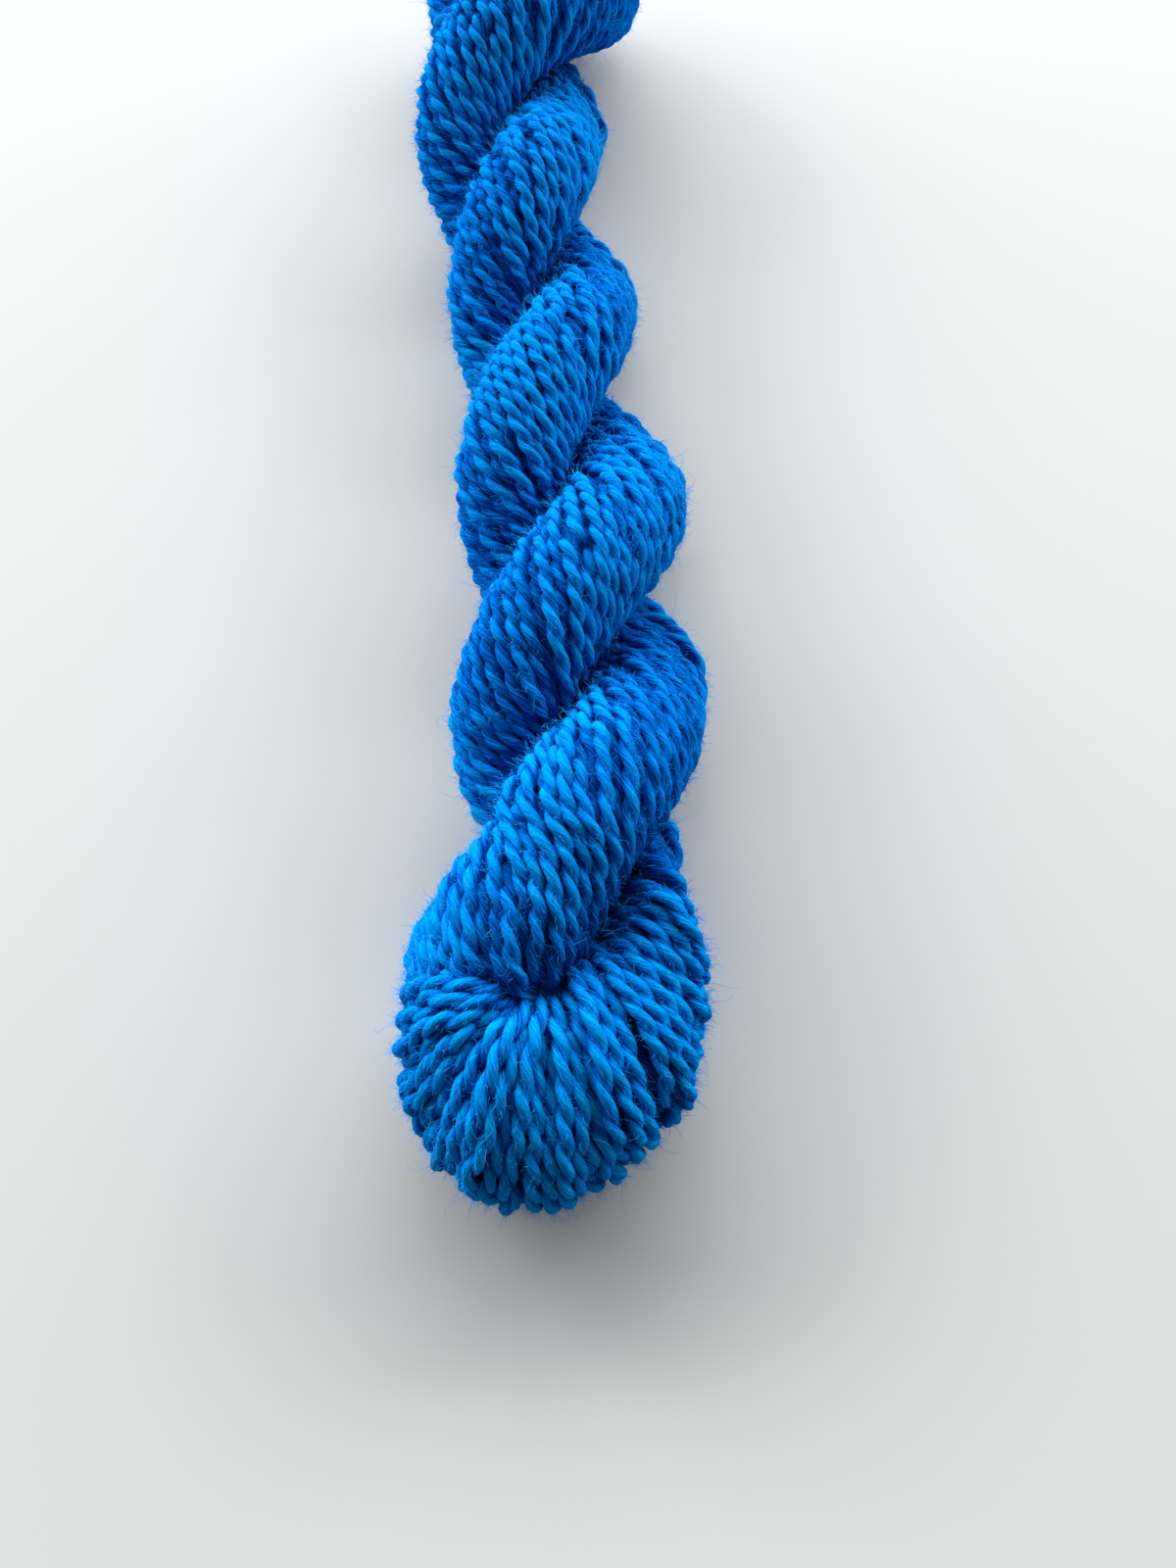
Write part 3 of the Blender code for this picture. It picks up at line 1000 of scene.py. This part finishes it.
class SKEIN_OT_raise_fuzz(Operator):
    """Raises loose fibres all over the yarn"""

    bl_idname = "skein.raise_fuzz"
    bl_label = "Raise fuzz"

    def execute(self, context):
        settings = context.scene.skein
        yarn = laid_yarn(settings)
        paths, ways = (yarn["turns"][k] + yarn["loops"][k] for k in (0, 1))
        hairs = fuzz_paths(paths, ways, settings)
        section = [(HAIR_RADIUS * math.cos(a), HAIR_RADIUS * math.sin(a)) for a in HAIR_CORNERS]
        radii = [np.linspace(1.0, HAIR_TIP, len(hair)) for hair in hairs]
        fibre = fuzz_material(settings)
        for i, name in enumerate(("fuzz_a", "fuzz_b", "fuzz_c")):
            put_on(swept(name, hairs[i::3], section, radii[i::3]), fibre)
        return {"FINISHED"}


# The stage, in metres and watts. The floor reaches this far each way.
FLOOR_REACH = 1.5
FLOOR_PAINT = "#bfc2c1"
ROOM_COLOUR = "#f4f8fa"
ROOM_STRENGTH = 0.16
# A wide window past the skein's far end, and a small panel on each side. Columns: place, energy.
WINDOW = ((-0.12, 1.9, 1.17), 166.0)
WINDOW_SIZE = (5.0, 1.0)
PANELS = (((-0.9, 0.5, 0.3), 13.0), ((0.9, 0.5, 0.3), 10.0))
PANEL_SIZE = 0.7
# The photograph's view, from over the rosette along the skein. Lens and sensor are in millimetres.
CAMERA_PLACE = (0.00775, -0.1345, 0.1817)
CAMERA_TILT = math.radians(21.7)
CAMERA_LENS = 27.0
CAMERA_SENSOR = 36.0
CAMERA_NEAR = 0.01


def area_light(name, place, energy, scene):
    """An area light at a place, turned to the skein."""
    light = bpy.data.lights.new(name, "AREA")
    light.energy = energy
    placed = bpy.data.objects.new(name, light)
    placed.location = place
    placed.rotation_euler = (-placed.location).to_track_quat("-Z", "Y").to_euler()
    scene.collection.objects.link(placed)
    return light


class SKEIN_OT_set_stage(Operator):
    """Lays the floor and sets the lights and the camera"""

    bl_idname = "skein.set_stage"
    bl_label = "Set stage"

    def execute(self, context):
        scene = context.scene
        shape = bmesh.new()
        bmesh.ops.create_grid(shape, x_segments=1, y_segments=1, size=FLOOR_REACH)
        mesh = bpy.data.meshes.new("floor")
        shape.to_mesh(mesh)
        shape.free()
        floor = bpy.data.objects.new("floor", mesh)
        scene.collection.objects.link(floor)
        # Matt emulsion paint, which has no gloss at all.
        paint = bpy.data.materials.new("matt_white_paint")
        paint.use_nodes = True
        shader = paint.node_tree.nodes["Principled BSDF"]
        shader.inputs["Base Color"].default_value = linear(FLOOR_PAINT)
        shader.inputs["Roughness"].default_value = 1.0
        shader.inputs["Specular IOR Level"].default_value = 0.0
        mesh.materials.append(paint)

        # The dye's blue is purer than the filmic view can show, so the plain view is used.
        scene.view_settings.view_transform = "Standard"
        scene.world = bpy.data.worlds.new("soft_room")
        scene.world.use_nodes = True
        room = scene.world.node_tree.nodes["Background"]
        room.inputs["Color"].default_value = linear(ROOM_COLOUR)
        room.inputs["Strength"].default_value = ROOM_STRENGTH
        window = area_light("window", *WINDOW, scene)
        window.shape = "RECTANGLE"
        window.size, window.size_y = WINDOW_SIZE
        for place, energy in PANELS:
            area_light("side_panel", place, energy, scene).size = PANEL_SIZE

        camera = bpy.data.cameras.new("camera")
        camera.sensor_width = CAMERA_SENSOR
        camera.lens = CAMERA_LENS
        camera.clip_start = CAMERA_NEAR
        placed = bpy.data.objects.new("camera", camera)
        placed.location = CAMERA_PLACE
        placed.rotation_euler = (CAMERA_TILT, 0.0, 0.0)
        scene.collection.objects.link(placed)
        scene.camera = placed
        return {"FINISHED"}


class SKEIN_PT_panel(Panel):
    """Lists the skein's steps and sizes"""

    bl_label = "Yarn skein"
    bl_space_type = "VIEW_3D"
    bl_region_type = "UI"
    bl_category = "Skein"

    def draw(self, context):
        settings = context.scene.skein
        for key in SkeinSettings.__annotations__:
            self.layout.prop(settings, key)
        for operator in OPERATORS:
            self.layout.operator(operator.bl_idname)


OPERATORS = (
    SKEIN_OT_set_stage,
    SKEIN_OT_wind_turns,
    SKEIN_OT_spread_rosette,
    SKEIN_OT_fill_heart,
    SKEIN_OT_raise_fuzz,
)
CLASSES = (SkeinSettings, *OPERATORS, SKEIN_PT_panel)


def register():
    """Makes the classes and the settings known to Blender."""
    for cls in CLASSES:
        bpy.utils.register_class(cls)
    bpy.types.Scene.skein = PointerProperty(type=SkeinSettings)


def unregister():
    """Takes the settings and the classes out again."""
    del bpy.types.Scene.skein
    for cls in reversed(CLASSES):
        bpy.utils.unregister_class(cls)


def main():
    """Builds everything in order."""
    register()
    bpy.ops.skein.set_stage()
    bpy.ops.skein.wind_turns()
    bpy.ops.skein.spread_rosette()
    bpy.ops.skein.fill_heart()
    bpy.ops.skein.raise_fuzz()


if __name__ == "__main__":
    main()
